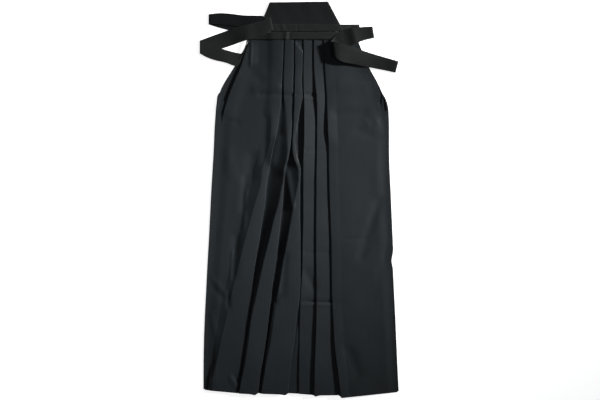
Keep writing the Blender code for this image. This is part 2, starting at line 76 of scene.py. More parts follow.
# crease_n: where strip n rises; fold_n: its fold edge; rise_n: height of the crease; soft and slack:
# width of the rise to the first strip and to the others; crisp: 0 for a round rise, 1 for a sharp one.
RightFront = namedtuple(
    "RightFront",
    "drop side crease_1 fold_1 crease_2 fold_2 crease_3 fold_3 rise_1 rise_2 rise_3 soft slack crisp",
)
RIGHT_FRONT = [RightFront(*row) for row in (
    (-16, -129, -66, -42, -38, -15, -11, 9.5, 2, 2.4, 2.4, 22, 4, 0),
    (0, -133, -66, -42, -38, -15, -11, 9.5, 2, 2.4, 2.4, 22, 4, 0),
    (35, -144, -66, -43, -39, -15, -11, 9.5, 2, 2.6, 2.6, 22, 4, 0),
    (70, -155.5, -67, -44, -40, -15, -10.5, 8.5, 2, 2.8, 2.8, 22, 4, 0),
    (110, -172.5, -68, -46, -41, -16, -11.5, 7, 2, 3, 3.2, 22, 5, 0),
    (150, -188.5, -71, -48, -40, -16.5, -12, 9, 2.2, 3, 4.2, 22, 9, 0.1),
    (180, -197.5, -73, -50, -36, -17.5, -13, 4, 2.6, 3.4, 5, 24, 16, 0.2),
    (210, -205, -74.5, -54, -33, -18.5, -14, -1.5, 3.2, 4.6, 6, 26, 24, 0.3),
    (240, -209, -75.5, -58, -32, -20, -15.5, -6, 3.8, 7, 7, 28, 30, 0.5),
    (267, -210.5, -77, -64, -31.5, -22, -17.5, -11, 4.2, 9.6, 7.8, 28, 35, 0.7),
    (294, -212, -83, -70, -31, -25, -17.5, -8.6, 4.4, 12, 8.4, 28, 40, 0.9),
    (321, -214, -90, -75, -34, -30, -12, -2, 4.4, 12.6, 9, 27, 40, 1),
    (348, -216, -99.5, -80, -41, -37, -2, 4, 4.4, 13, 9.4, 26, 40, 1),
    (374.5, -218, -101, -85, -43, -39, -1.5, 3, 4.4, 13, 9.6, 26, 40, 1),
    (401, -220, -107, -88, -48, -42, -6.5, 2, 4.4, 13, 9.8, 26, 40, 1),
    (428, -222.5, -115.5, -90, -52.7, -43.3, -11.2, 2.5, 4.4, 12.8, 9.8, 25, 40, 1),
    (481.5, -226.5, -130.3, -98.2, -67.4, -49.2, -21.1, 2.5, 4.2, 12, 9.6, 24, 34, 1),
    (535, -231.5, -145.5, -106.2, -80.2, -54.8, -31.3, 3.5, 4, 10.6, 9.2, 22, 28, 1),
    (588.5, -236, -158.4, -115.6, -94.2, -60.7, -42, 3.5, 3.8, 9.4, 8.6, 22, 22, 1),
    (642, -240, -171.7, -123.6, -105.9, -69.3, -50.6, 3.5, 3.4, 8.4, 8, 22, 18, 1),
    (695.5, -243.6, -185.1, -129.5, -117.7, -75.4, -60.7, 0.8, 3.2, 7.6, 7.4, 22, 14, 1),
    (749, -247, -197.1, -136.2, -128.4, -82.1, -68.8, -7.2, 3.2, 7, 7, 20, 12, 1),
    (802.5, -249.6, -209.7, -145, -135.1, -88.8, -76.8, -12.6, 3.4, 7, 7, 18, 10, 1),
    (856, -251, -220.4, -153, -143.1, -97.4, -86.1, -20.6, 4.2, 7, 7, 13, 9, 1),
    (909.5, -251.8, -232.5, -160, -154, -105.7, -96, -26.5, 5, 6.6, 6.6, 9, 8, 1),
    (945, -252, -237, -162.5, -161, -109.4, -101, -29.2, 4.4, 6, 6, 8, 8, 1),
)]
STRIP_TILT = 0.06     # slope of a raised strip, down from its crease to its fold
STRIP_BOW, STRIP_BOW_WIDTH = 0.3, 20.0    # how far a strip bulges, less where it is narrower than this

# gap_n: width of the groove beside fold n; stand_n: how far fold n stands up off the stack.
LeftFront = namedtuple(
    "LeftFront",
    "drop side fold_5 fold_4 fold_3 lift gap_5 gap_4 stand_5 stand_4 stand_3",
)
LEFT_FRONT = [LeftFront(*row) for row in (
    (-16, 152, 65, 38.5, 11, 0, 2, 2, 0.2, 0.2, 0.2),
    (0, 154.5, 65, 38.5, 11, 0, 2, 2, 0.3, 0.3, 0.2),
    (35, 169, 66, 38.5, 11.5, 0.1, 2, 2, 0.5, 0.5, 0.4),
    (70, 181, 67.5, 39, 10.5, 0.1, 2, 2, 0.6, 0.6, 0.6),
    (110, 194.5, 70.5, 41.5, 10.5, 0.2, 2, 4, 0.7, 1.4, 1.2),
    (150, 210, 73, 45.5, 12, 0.3, 2, 8, 0.9, 2.8, 2.4),
    (180, 221, 74, 47, 12.5, 0.5, 3, 6, 1.6, 2.2, 3.2),
    (210, 228, 75, 47.3, 12.5, 0.6, 6, 3, 2.8, 1.2, 3.6),
    (240, 232, 76, 47, 12.5, 0.6, 8, 2, 3.6, 0.8, 3.8),
    (267, 232.6, 77.5, 46.7, 12.4, 0.4, 6, 2, 2.6, 0.8, 3.6),
    (290, 233, 78.3, 46.5, 11.5, 0.3, 3, 2, 1.2, 0.8, 3.2),
    (321, 233.5, 78.6, 46, 10.2, 0.3, 2, 2, 0.9, 0.8, 2.6),
    (350, 234, 78.9, 45.3, 10, 0.3, 2, 2, 0.9, 0.9, 2),
    (400, 235.5, 80, 45, 10, 0.3, 2, 2, 1, 1, 1.4),
    (470, 239, 82.5, 44.5, 10, 0.3, 2, 2, 1, 1.2, 1.4),
    (540, 242.5, 85, 44.4, 8.5, 0.3, 2, 2.5, 1, 1.4, 1.4),
    (610, 246, 86, 44.8, 7.4, 0.3, 2, 2.5, 1, 1.4, 1.4),
    (680, 250, 87, 45.6, 3.5, 0.4, 2, 2.5, 1.2, 1.8, 1.4),
    (740, 253, 90, 45, 1, 0.6, 3, 3, 1.8, 2.6, 1.1),
    (810, 256.5, 93.5, 43, 0, 1.2, 5, 3, 3.2, 3.4, 0.8),
    (880, 259.5, 102, 40.5, -1, 2, 6, 3, 4.6, 3.8, 0.7),
    (945, 262.5, 110.5, 39.5, -1.5, 2.4, 6, 3, 5, 4, 0.8),
)]

# Outer edges of the back panels. turn: 0 is a flat slit edge, 1 a side folded over to the front.
BackSide = namedtuple("BackSide", "drop right left turn")
BACK_SIDE = [BackSide(*row) for row in (
    (-21.6, -133, 156, 0), (0, -136, 158, 0), (35, -154, 171, 0), (70, -173, 185.5, 0),
    (110, -198, 207.5, 0), (134, -212, 220, 0.06), (152, -222, 231, 0.42), (165, -222, 235.5, 0.75),
    (180, -223, 238.5, 0.96), (195, -224, 239.8, 1), (240, -227, 241, 1), (290, -229, 241, 1),
    (350, -232.5, 242.5, 1), (400, -235.5, 245, 1), (470, -239, 248, 1), (540, -242.5, 251, 1),
    (560, -243.7, 251.8, 1), (591, -245.5, 247.6, 1), (608, -246.4, 250.6, 1), (680, -250, 254.5, 1),
    (740, -253, 257.5, 1), (810, -255.5, 260.5, 1), (880, -256.5, 263.5, 1), (945, -256.5, 266.5, 1),
)]

# The hem hangs a little lower at each fold's corner.
HemPoint = namedtuple("HemPoint", "x drop")
HEM = [HemPoint(*row) for row in (
    (-257, 935), (-212, 939), (-158, 944), (-132, 945.5), (-118, 948.5), (-110, 943), (-94, 944.8),
    (-51, 946.4), (-35, 949), (-31, 943.5), (-8, 944.3), (34, 948), (46, 952), (50, 949), (106, 949),
    (113, 955.5), (130, 954), (267, 941),
)]
HEM_BLEND = 70.0      # over this height the rows turn from level to the line of the hem
BACK_HEM_SHORT = 2.0
FLAT_HEM, SIDE_CURL = 8.0, 1.2    # the slit's flat hem, and how much the side curls as it turns over

# Soft ridges (height above 0) and troughs (below 0) pressed into the cloth, each along a line.
Crease = namedtuple("Crease", "x_1 drop_1 x_2 drop_2 width height")
RIGHT_CREASES = [Crease(*row) for row in (
    (-126, 300, -134, 380, 10, -1.6), (-142, 364, -150, 460, 7, -1.6), (-141, 400, -148, 510, 4, 1),
    (-86, 205, -92, 330, 7, -1.8), (-168, 520, -176, 640, 8, -1.6), (-190, 670, -188, 720, 4, -1.8),
    (-178, 560, -184, 640, 3, 1), (-33, 350, -18, 450, 5, 2.6), (-126, 134, -49, 123, 6, 1.6),
    (-110, 146, -43, 146, 3.5, -1.6), (-104, 54, -49, 86, 9, -1.5), (-128, 84, -98, 112, 8, -1.2),
    (-43, 146, -16, 148, 2.6, -2.4), (-12, 146, 12, 147, 2.4, -1.6), (-57, 257, -73, 334, 7, 2.6),
    (-54, 680, -65, 706, 4, -2.2), (-38, 567, -46, 690, 7, -1.6), (-66, 700, -94, 885, 1.6, 2.2),
    (-3, 762, -10, 930, 1.5, 2.2), (-240, 630, -190, 685, 6, 0.9), (-234, 660, -196, 696, 6, -0.9),
    (-236, 728, -222, 792, 6, 0.8), (-186, 898, -168, 926, 4, 1.6), (-176, 892, -164, 918, 3, -1.4),
    (-200, 214, -158, 222, 4, -1), (-218, 170, -203, 193, 4, 1), (-198, 290, -170, 380, 12, 0.9),
    (2, 222, 1, 325, 4, -2.2), (-128, 4, -130, 68, 2.6, 1.2), (-122, 4, -124, 68, 8, 1.6),
)]
LEFT_CREASES = [Crease(*row) for row in (
    (12, 146, 45, 149, 2.6, -2.6), (12, 153, 45, 155, 3, 0.8), (13, 294, 77, 292, 2.6, -0.8),
    (120, 531, 184, 531, 3, -0.9), (13, 567, 85, 568, 3, -0.9), (2, 698, 88, 699, 2.4, -3),
    (2, 706, 88, 707, 4, 1.2), (88, 700, 108, 702, 3, -0.8), (215, 423, 187, 508, 9, -1.7),
    (187, 508, 163, 588, 10, -1.5), (129, 821, 158, 899, 10, -1.8), (13, 610, 42, 669, 9, -1.4),
    (88, 198, 179, 195, 9, -1.4), (173, 211, 187, 230, 4, 0.5), (205, 211, 213, 230, 4, 0.5),
    (98, 118, 190, 130, 14, 1), (150, 240, 215, 262, 8, -0.9), (236, 560, 214, 640, 10, -1),
)]

# Soft ridges on the underside, where the back cloth has lifted a little off the floor.
BACK_CREASES = [Crease(*row) for row in (
    (-150, 180, -120, 330, 9, 0.5), (-215, 260, -160, 330, 7, 0.45), (-190, 420, -205, 600, 10, 0.5),
    (-130, 480, -165, 700, 8, 0.4), (-230, 690, -150, 730, 6, 0.5), (-200, 800, -215, 900, 8, 0.45),
    (140, 150, 175, 290, 8, 0.5), (215, 330, 165, 400, 7, 0.45), (180, 430, 200, 620, 10, 0.5),
    (130, 560, 150, 760, 8, 0.4), (235, 640, 160, 690, 6, 0.5), (210, 780, 190, 910, 8, 0.45),
)]

# The front edge stands up beside the dark foot of each side slit.
RIGHT_SLIT = Crease(-140, 20, -204, 206, 15, 3.4)
LEFT_SLIT = Crease(165, 20, 228, 196, 12, 2.2)

# The back's turned side stands up a little beside the lower end of each slit.
RIGHT_SIDE_RIDGE = Crease(-214, 150, -224, 190, 3.0, 1.2)
LEFT_SIDE_RIDGE = Crease(228, 140, 236, 190, 3.0, 2.6)

# The diagonal tuck at the top of the strip beside the middle pleat.
TUCK_TOP_X, TUCK_END_X, TUCK_END_DROP, TUCK_DEPTH = -15.8, 11.0, 33.0, 2.0

BandSection = namedtuple("BandSection", "x z")
FRONT_BAND = [BandSection(*row) for row in (
    (-132, 4.3), (-118, 4.7), (-93, 6.2), (-69, 9.4), (-30, 9.6), (30, 9.6), (92, 9.4), (116, 6.4),
    (136, 4.8), (155.5, 4.4),
)]
BAND_TOP_DROP, BAND_LOW_DROP = -21.0, -1.3

# Corners: low left, low right, top right, top left.
BOARD_CORNERS = ((-112.0, 448.0), (120.0, 448.0), (77.0, 529.0), (-79.0, 527.0))
BOARD_HEIGHT = 4.0
BACK_BAND_CORNERS = ((-84.0, 448.6), (118.0, 448.6), (108.0, 469.0), (-84.0, 469.0))

Strap = namedtuple("Strap", "upper_x upper_y upper_z lower_x lower_y lower_z")
FRONT_STRAP_RIGHT = [Strap(*row) for row in (
    (-132.4, 446, 4.3, -132.4, 428, 4.3), (-137.5, 440, 6, -136, 424, 4.4),
    (-140, 424, 8, -142.5, 411, 4), (-142.5, 411, 9, -148, 399, 3), (-145.5, 399, 8, -153, 385, 2.6),
    (-150, 391.5, 5.5, -157.5, 370, 2.4), (-156, 389.5, 3.6, -161.5, 360.5, 2.4),
    (-163, 391, 3, -167, 356.5, 2.4), (-176, 394, 2.8, -176, 357.5, 2.6),
    (-201, 401, 3.4, -196, 365, 3.2), (-232, 412, 2.8, -229, 373, 2.8),
    (-252, 420.5, 2.8, -250, 381, 2.8), (-264.4, 425, 2.8, -264.4, 389, 2.8),
    (-265.3, 425.4, 1.8, -265.3, 389.2, 1.8), (-264.4, 425.4, 0.8, -264.4, 389.2, 0.8),
    (-248, 431.5, 0.8, -246, 393, 0.8), (-215, 443.5, 0.8, -208, 403, 0.8),
    (-190, 452, 3, -180, 411.5, 2.4), (-165, 459.5, 6.8, -155, 420.5, 7.4),
    (-141, 466, 9.4, -138, 425.5, 11), (-118, 471.5, 9.4, -112, 433, 11.4),
    (-95, 478.5, 9.8, -88, 441.5, 12.8), (-84.5, 484, 9.8, -77.5, 448.5, 12.5),
    (-77.4, 487, 9.3, -70.4, 451, 11.7), (-76.5, 487, 8.5, -69.5, 451, 10.9),
    (-77.4, 486.5, 7.6, -70.4, 451, 10), (-90, 481, 7.4, -85, 449.5, 9.8),
)]
BACK_STRAP_RIGHT = [Strap(*row) for row in (
    (-84.4, 468.5, 5.3, -84.4, 449.2, 5.3), (-92.5, 488, 5.3, -102, 453, 5.3),
    (-118, 491, 5, -124, 457, 5), (-140, 491.5, 4, -142, 459.5, 4), (-158, 493, 3, -159, 461.5, 3),
    (-180, 496, 2.8, -180, 464.5, 2.8), (-212, 498, 2.8, -212, 467.5, 2.8),
    (-240.6, 495.2, 2.8, -240.6, 468, 2.8), (-241.5, 495.2, 1.8, -241.5, 468, 1.8),
    (-240.6, 495, 0.8, -240.6, 467.5, 0.8), (-215, 487, 0.8, -216, 459.5, 0.8),
    (-186, 479, 0.8, -190, 452.5, 0.8), (-165, 473, 0.8, -169, 446.5, 0.8),
    (-136, 465, 0.8, -140, 438.5, 0.8),
)]
FRONT_STRAP_LEFT = [Strap(*row) for row in (
    (155.9, 446, 4.4, 155.9, 428, 4.4), (166, 452.5, 2.6, 164, 425, 3.4), (179, 458, 1, 177, 427, 1),
    (194.4, 461.5, 0.8, 199, 431.5, 0.8), (195.4, 461.8, 1.8, 200, 431.8, 1.8),
    (194.4, 461.8, 2.8, 199, 431.5, 2.8), (182, 461.5, 3.8, 187, 429, 3.6),
    (169, 460.5, 5.2, 176, 426, 4.9), (158, 459.5, 6.8, 166, 422.5, 6.6),
    (149, 458.5, 8.4, 158, 419.5, 8.4), (142.5, 457.5, 9.7, 152, 417, 9.6),
    (136, 456.5, 9.7, 146, 414, 9.4), (129, 455, 8.8, 139.5, 410, 8.3),
    (119, 452.5, 8.4, 131, 405, 7.8), (106, 447, 9.8, 120, 397, 8.8),
    (95.5, 436.5, 11.2, 107.5, 388.5, 9.8), (88.5, 425.5, 14.5, 96.5, 383, 12.4),
    (84, 420, 19.5, 88, 382, 17), (88.5, 420.5, 24, 96, 377.5, 21.6), (101, 417, 24.8, 107, 370, 20.6),
    (118, 412, 22, 121, 364.5, 17), (140, 407.5, 17, 142, 361.5, 12), (161, 400, 11.4, 166, 356.5, 8.4),
    (193, 390, 5.6, 198, 350.5, 4.6), (228, 380, 2.9, 230, 344.5, 2.9),
    (263.8, 369.5, 2.8, 256, 338.8, 2.8), (264.7, 369.2, 1.8, 256.9, 338.6, 1.8),
    (263.8, 369.5, 0.8, 256, 338.8, 0.8), (242, 375, 0.8, 237, 344.5, 0.8),
    (214, 383, 0.8, 210.5, 349.4, 0.8),
)]
BACK_STRAP_LEFT = [Strap(*row) for row in (
    (109.4, 467.2, 5.3, 118, 449.2, 5.3), (124, 467.2, 4.2, 127, 449.2, 4.4),
    (138, 467.4, 2.8, 139, 449.2, 2.8), (159.4, 467.4, 2.8, 159.4, 449.2, 2.8),
    (160.3, 467.4, 1.8, 160.3, 449.2, 1.8), (159.4, 467.4, 0.8, 159.4, 449.2, 0.8),
    (130, 467, 0.8, 130, 449.2, 0.8),
)]


# Reading the tables

class Track:
    """A measure given at a few places, read between them on a smooth curve with no overshoot."""

    def __init__(self, places, values):
        self.places = np.asarray(places, float)
        self.values = np.asarray(values, float)
        step = np.diff(self.places)
        rise = np.diff(self.values) / step
        self.slopes = np.zeros(len(self.places))
        self.slopes[0], self.slopes[-1] = rise[0], rise[-1]
        same = rise[:-1] * rise[1:] > 0
        weight_1 = 2 * step[1:] + step[:-1]
        weight_2 = step[1:] + 2 * step[:-1]
        before = np.where(same, rise[:-1], 1.0)
        after = np.where(same, rise[1:], 1.0)
        mean = (weight_1 + weight_2) / (weight_1 / before + weight_2 / after)
        self.slopes[1:-1] = np.where(same, mean, 0.0)

    def __call__(self, at):
        at = np.clip(at, self.places[0], self.places[-1])
        i = np.clip(np.searchsorted(self.places, at) - 1, 0, len(self.places) - 2)
        step = self.places[i + 1] - self.places[i]
        s = (at - self.places[i]) / step
        ends = self.values[i] * (1 + 2 * s) * (1 - s) ** 2 + self.values[i + 1] * s * s * (3 - 2 * s)
        return ends + step * s * (1 - s) * (self.slopes[i] * (1 - s) - self.slopes[i + 1] * s)


def read_table(rows, at):
    """Every column of a table, read at many drops at once."""
    kind = type(rows[0])
    drops = [row.drop for row in rows]
    return kind(*[Track(drops, [getattr(row, field) for row in rows])(at) for field in kind._fields])


def blend(a, b, share):
    return a + (b - a) * share


def ease(share):
    share = np.clip(share, 0.0, 1.0)
    return share * share * (3 - 2 * share)


def bell(distance, width):
    """1 in the middle, and almost 0 three widths away."""
    return np.exp(-0.5 * (distance / width) ** 2)


def shares(count, first=0.0, last=1.0):
    return np.linspace(first, last, count)


def back_pleat(drop):
    share = np.clip(drop / SEAT_LENGTH, 0.0, 1.0)
    edge = blend(BACK_PLEAT_WAIST, BACK_PLEAT_HEM, share)
    return edge, blend(BACK_DEPTH_WAIST, BACK_DEPTH_HEM, share)


def front_base(x, drop, side):
    """Middle of the front's lowest layer: over the back's pleats, then gently down to its side."""
    edge, depth = back_pleat(drop)
    out = np.abs(x - CENTRE_X)
    reach = np.abs(side - CENTRE_X)
    full = edge + depth + LIFT_MARGIN
    return FRONT_LEVEL + 2 * BACK_PITCH * ease((reach - out) / (reach - full))


def hem_shift(x, drop, shorten=0.0):
    """How far a row near the hem moves down to follow it."""
    hem = np.interp(x, [point.x for point in HEM], [point.drop for point in HEM])
    share = ease((drop - SEAT_LENGTH + HEM_BLEND) / HEM_BLEND)
    return (hem - shorten - SEAT_LENGTH) * share


# Soft forms pressed into the cloth

FADE_SHARE, FADE_WIDTHS = 0.3, 3      # a crease's ends fade over this share of it, or so many widths
WAVE_COUNT = 4
AIR = 2.2             # how far a panel stands off the cloth below, where nothing presses it
AIR_TOP, AIR_FADE_TOP, AIR_FADE_SIDE = 70.0, 60.0, 30.0
LONG_WAVE, LONG_SIZE, SHORT_WAVE, SHORT_SIZE = 0.3, 150.0, 0.06, 47.0     # unevenness of that height
SOFT_STOP = 0.4       # how gently a trough ends on the cloth below
TUCK_STEP, TUCK_LEAD, TUCK_FADE = 2.0, 6.0, 10.0


def crease_height(x, drop, crease):
    """Height of one ridge or trough, fading along its line's ends and sides."""
    start = np.array([crease.x_1, crease.drop_1], float)
    line = np.array([crease.x_2, crease.drop_2], float) - start
    length = np.hypot(*line)
    line /= length
    along = (x - start[0]) * line[0] + (drop - start[1]) * line[1]
    aside = (x - start[0]) * line[1] - (drop - start[1]) * line[0]
    fade = min(FADE_SHARE * length, FADE_WIDTHS * crease.width)
    ends = ease(along / fade + 0.5) * ease((length - along) / fade + 0.5)
    return crease.height * ends * bell(aside, crease.width)


def wander(x, drop, size, seed):
    """A gentle uneven wave, about -1 to 1, from a few crossing waves of unlike angle and length."""
    total = 0.0
    for n in range(WAVE_COUNT):
        angle = seed * 1.7 + n * 2.4
        wave = (x * math.cos(angle) + drop * math.sin(angle)) / (size * (0.7 + 0.25 * n))
        total = total + np.sin(2 * math.pi * wave + seed + 1.3 * n) / (2 + 0.5 * n)
    return total


def air(x, drop, side, creases, seed):
    """Height of a front panel over its pressed stack: loose cloth, ridges and troughs."""
    inside = ease(np.abs(side - x) / AIR_FADE_SIDE)
    below = ease((drop - AIR_TOP) / AIR_FADE_TOP)
    loose = AIR + LONG_WAVE * wander(x, drop, LONG_SIZE, seed)
    loose = loose + SHORT_WAVE * wander(x, drop, SHORT_SIZE, seed + 2.0)
    height = loose * inside * below
    for crease in creases:
        height = height + crease_height(x, drop, crease)
    return 0.5 * (height + np.sqrt(height * height + SOFT_STOP ** 2) - SOFT_STOP)


def tuck_depth(x, drop):
    """The step down on the waist side of the diagonal tuck."""
    line = blend(TUCK_TOP_X, TUCK_END_X, drop / TUCK_END_DROP)
    past = ease((x - line) / TUCK_STEP)
    return TUCK_DEPTH * past * ease((TUCK_END_DROP + TUCK_LEAD - drop) / TUCK_FADE)


# Sections across the panels. Counts and shares say where the columns lie along a stretch of cloth.

TURN_COLUMNS, RISE_COLUMNS = 7, 8
RIGHT_SIDE_COLUMNS, LEFT_SIDE_COLUMNS, BACK_COLUMNS, RAMP_COLUMNS = 46, 48, 26, 7
STRIP_SHARES, LEFT_STRIP_SHARES = shares(15, 0.03, 0.97), shares(19, 0.04, 0.97)
LAST_STRIP_SHARES, LAST_SIDE_SHARE = shares(13, 0.0, 0.97), 0.98
HIDDEN_SHARES, VALLEY_SHARES, CENTRE_SHARES = (0.3, 0.7), (0.3, 0.6, 0.9, 1.0), (0.4, 0.7, 1.0)
LAP_STEPS, SIDE_STEPS = 8, 9
TOP_LEVEL = 2 * PITCH
LEFT_BOW, LAST_BOW = 0.15, 0.2        # how far a strip of the left leg bulges
GROOVE_LAP = 2.0                      # how far a groove starts below the fold beside it
LAST_SHORT = 4.0                      # the last hidden fold ends this far short of its strip
RAMP_START, RAMP_LENGTH = 2.0, 16.0   # where the back pleat's top layer comes down to the lowest one


class Section:
    """The columns of a panel. x and height are arrays down the panel, one value for each row."""

    def __init__(self, drop, turn, nose):
        self.drop = drop
        self.turn_in = turn
        self.bulge = turn - nose
        self.x = []
        self.height = []
        # How much each column lies on a fold, which the cloth material darkens as painted shade.
        self.fold_shade = []

    def add(self, x, height, fold_shade=0.0):
        none = np.zeros_like(self.drop)
        self.x.append(x + none)
        self.height.append(height + none)
        self.fold_shade.append(fold_shade + none)

    def run(self, x_1, height_1, x_2, height_2, places, bow=0.0):
        for s in places:
            self.add(blend(x_1, x_2, s), blend(height_1, height_2, s) + bow * 4 * s * (1 - s))

    def turn(self, edge, facing, height_1, height_2):
        """A half turn round a fold. facing is +1 where its edge faces +X, and -1 towards -X."""
        for i in range(TURN_COLUMNS):
            angle = math.pi * i / (TURN_COLUMNS - 1)
            reach = self.bulge * math.sin(angle) - self.turn_in
            height = (height_1 + height_2) / 2 + (height_1 - height_2) / 2 * math.cos(angle)
            self.add(edge + facing * reach, height, math.sin(angle))

    def rise(self, foot, crease, height, crisp):
        """Up from a foot to a crease: rounded where crisp is 0, and a sharp ridge where it is 1."""
        for i in range(RISE_COLUMNS):
            s = (i + 1) / RISE_COLUMNS
            self.add(blend(foot, crease, s), height * blend(ease(s), s ** 1.15, crisp), crisp * s ** 8)

    def fold_under(self, edge, facing, top, inner):
        """Round a fold's edge, back below its strip, and round the hidden fold to the lowest layer."""
        self.turn(edge, facing, top, top - PITCH)
        self.run(edge - facing * TURN, top - PITCH, inner + facing * TURN, PITCH, HIDDEN_SHARES)
        self.turn(inner, -facing, PITCH, 0.0)

    def grids(self):
        return [np.stack(columns, axis=1) for columns in (self.x, self.height, self.fold_shade)]


def underlay(width):
    return np.minimum(UNDERLAY_SHARE * width, UNDERLAY_MOST)


def right_front_section(drop):
    row = read_table(RIGHT_FRONT, drop)
    section = Section(drop, TURN, NOSE)
    start = row.crease_1 - row.soft
    section.run(row.side, 0.0, start, 0.0, shares(RIGHT_SIDE_COLUMNS))
    strips = [
        (row.crease_1, row.fold_1, row.rise_1, row.soft),
        (row.crease_2, row.fold_2, row.rise_2, row.slack),
        (row.crease_3, row.fold_3, row.rise_3, row.slack),
    ]
    for crease, edge, rise, soft in strips:
        section.rise(np.maximum(crease - soft, start), crease, rise, row.crisp)
        edge = np.maximum(edge, crease + 2 * TURN)
        top = TOP_LEVEL + np.maximum(rise - TOP_LEVEL - STRIP_TILT * (edge - crease), 0.0)
        bow = STRIP_BOW * np.minimum((edge - crease) / STRIP_BOW_WIDTH, 1.0)
        section.run(crease, rise, edge - TURN, top, STRIP_SHARES, bow)
        inner = edge - underlay(edge - crease)
        section.fold_under(edge, 1, top, inner)
        start = edge + STRIP_SOFT
        section.run(inner + TURN, 0.0, start, 0.0, VALLEY_SHARES)
    seam = read_table(LEFT_FRONT, drop).fold_3 + CENTRE_LAP - SEAM / 2
    section.run(start, 0.0, seam, 0.0, CENTRE_SHARES)
    return section, row.side


def left_strip(section, outer, edge, gap, stand):
    """Out from under the fold at outer, across a groove, then gently up to the strip's own fold."""
    foot = outer - gap
    section.run(outer + GROOVE_LAP, 0.0, foot, 0.0, shares(3))
    section.run(foot, 0.0, edge + TURN, TOP_LEVEL + stand, LEFT_STRIP_SHARES, LEFT_BOW)
    section.fold_under(edge, -1, TOP_LEVEL + stand, edge + underlay(foot - edge))


def left_front_section(drop):
    row = read_table(LEFT_FRONT, drop)
    section = Section(drop, TURN, NOSE)
    shoulder = row.fold_5 + UNDERLAY_MOST
    for i, s in enumerate(shares(LEFT_SIDE_COLUMNS, 0.0, LAST_SIDE_SHARE)):
        height = (TOP_LEVEL + row.lift) * ease(i / LEFT_SIDE_COLUMNS)
        section.add(blend(row.side, shoulder, s), height)
    top = TOP_LEVEL + row.stand_5
    section.run(shoulder, TOP_LEVEL + row.lift, row.fold_5 + TURN, top, LAST_STRIP_SHARES, LAST_BOW)
    section.fold_under(row.fold_5, -1, top, shoulder - LAST_SHORT)
    left_strip(section, row.fold_5, row.fold_4, row.gap_5, row.stand_4)
    left_strip(section, row.fold_4, row.fold_3, row.gap_4, row.stand_3)
    section.run(row.fold_3 + UNDERLAY_MOST / 2, 0.0, row.fold_3 + CENTRE_LAP + SEAM / 2, 0.0, (0.5, 1.0))
    return section, row.side


def back_section(drop, outer, front_edge, turn):
    """A back panel from its side to the centre. Here x is the distance out from the centre."""
    section = Section(drop, BACK_TURN, BACK_NOSE)
    edge, depth = back_pleat(drop)
    low, high = FLOOR_LAYER, FRONT_LEVEL
    step_count = LAP_STEPS + SIDE_STEPS
    for i in range(step_count):
        if i < LAP_STEPS:
            folded_out = blend(front_edge + SEAM, outer - BACK_TURN, i / LAP_STEPS)
            folded_height = high
        else:
            angle = math.pi * (i - LAP_STEPS) / (SIDE_STEPS - 1)
            folded_out = outer - BACK_TURN + section.bulge * math.sin(angle)
            folded_height = (high + low) / 2 + (high - low) / 2 * math.cos(angle)
        flat_out = outer - FLAT_HEM * i / step_count
        curl = SIDE_CURL * np.sin(math.pi * turn) * (1 - i / step_count)
        section.add(blend(flat_out, folded_out, turn), blend(low, folded_height, turn) + curl)
    start = blend(outer - FLAT_HEM, outer - BACK_TURN, turn)
    middle, top = low + BACK_PITCH, low + 2 * BACK_PITCH
    section.run(start, low, edge + BACK_TURN, low, shares(BACK_COLUMNS, 0.03))
    section.turn(edge, -1, low, middle)
    section.run(edge + BACK_TURN, middle, edge + depth - BACK_TURN, middle, (0.25, 0.5, 0.75))
    section.turn(edge + depth, 1, middle, top)
    ramp = edge - RAMP_START
    section.run(edge + depth - BACK_TURN, top, ramp, top, (0.3, 0.6))
    for s in shares(RAMP_COLUMNS):
        section.add(ramp - RAMP_LENGTH * s, blend(top, low, ease(s)))
    section.run(ramp - RAMP_LENGTH, low, SEAM / 2, low, (0.5, 1.0))
    return section


# Meshes

SHARP_ANGLE = 0.75


def grid_faces(rows, columns, first, flip):
    """Quads over a grid of points numbered from first."""
    i, j = np.meshgrid(np.arange(rows - 1), np.arange(columns - 1), indexing="ij")
    corner = (first + i * columns + j).ravel()
    quads = np.stack([corner, corner + 1, corner + columns + 1, corner + columns], axis=1)
    return quads[:, ::-1] if flip else quads


def rim_faces(rows, columns):
    """Quads round the rim, from the upper skin to the lower one."""
    low = rows * columns
    grid = np.arange(low).reshape(rows, columns)
    ring = np.concatenate([grid[0], grid[1:, -1], grid[-1, -2::-1], grid[-2:0:-1, 0]])
    following = np.roll(ring, -1)
    return np.stack([ring, ring + low, following + low, following], axis=1)


def unit(vectors):
    return vectors / np.maximum(np.linalg.norm(vectors, axis=-1, keepdims=True), 1e-12)


def skin_normals(points):
    along = np.gradient(points, axis=0)
    across = np.gradient(points, axis=1)
    return unit(np.cross(across, along))


def upward(points):
    """The skin's normals, all turned to the side that faces up."""
    normals = skin_normals(points)
    return normals * np.where(normals[..., 2:] < 0, -1.0, 1.0)


def shell(name, points, wall, material, fold_shade=None):
    """A closed wall round a grid of middle points, in millimetres."""
    rows, columns = points.shape[:2]
    offset = skin_normals(points) * (np.ones((rows, columns)) * wall / 2)[..., None]
    skins = np.concatenate([(points + offset).reshape(-1, 3), (points - offset).reshape(-1, 3)])
    quads = np.concatenate([
        grid_faces(rows, columns, 0, False),
        grid_faces(rows, columns, rows * columns, True),
        rim_faces(rows, columns),
    ])
    return add_mesh(name, skins, quads, material, fold_shade)


